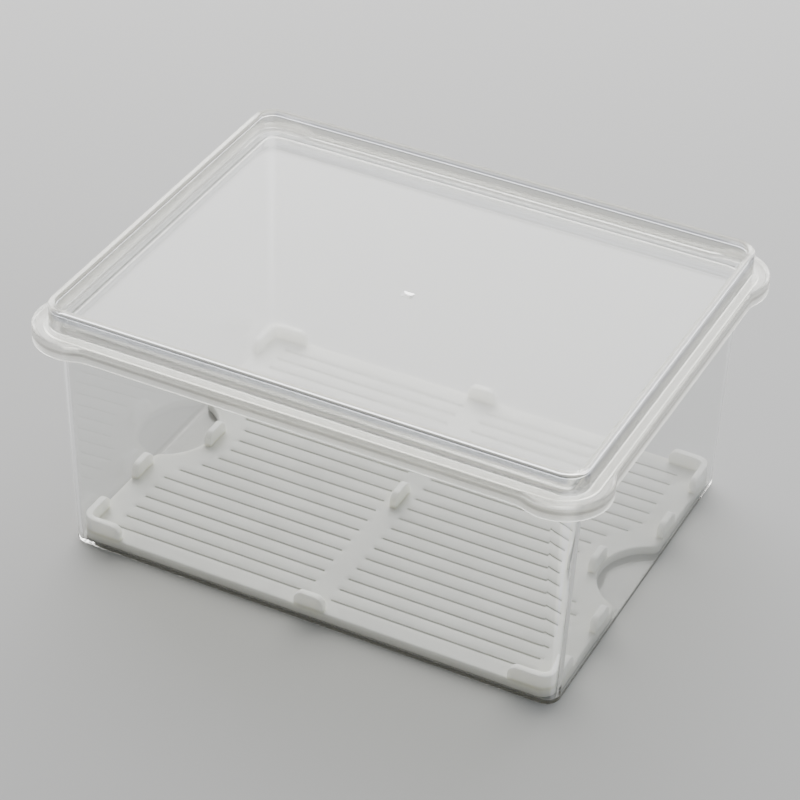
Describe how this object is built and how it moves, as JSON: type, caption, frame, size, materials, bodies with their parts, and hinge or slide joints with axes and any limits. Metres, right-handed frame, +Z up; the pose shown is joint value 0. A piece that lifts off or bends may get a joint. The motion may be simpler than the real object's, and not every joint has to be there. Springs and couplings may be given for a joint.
{
  "type": "fridge bin",
  "caption": "Clear rectangular food storage bin for a fridge, with a lift-off lid that has a stacking ridge, and a lift-out slotted drain tray inside.",
  "frame": {"origin": "centre of the bin's underside, on the surface that it stands on", "axes": "+X along the bin's length, +Y along its width, +Z up"},
  "size_m": [0.3204, 0.2548, 0.1532],
  "materials": {
    "clear_plastic": "clear gloss",
    "white_plastic": "white, soft sheen"
  },
  "bodies": {
    "bin": {"bin": "clear_plastic"},
    "lid": {"lid": "clear_plastic"},
    "drain_tray": {"drain_tray": "white_plastic"}
  },
  "joints": [
    {"name": "lid_lift", "type": "slide", "parent": "bin", "child": "lid", "axis": [0, 0, 1], "range_m": [0, 0.1]},
    {"name": "tray_lift", "type": "slide", "parent": "bin", "child": "drain_tray", "axis": [0, 0, 1], "range_m": [0, 0.115]}
  ]
}
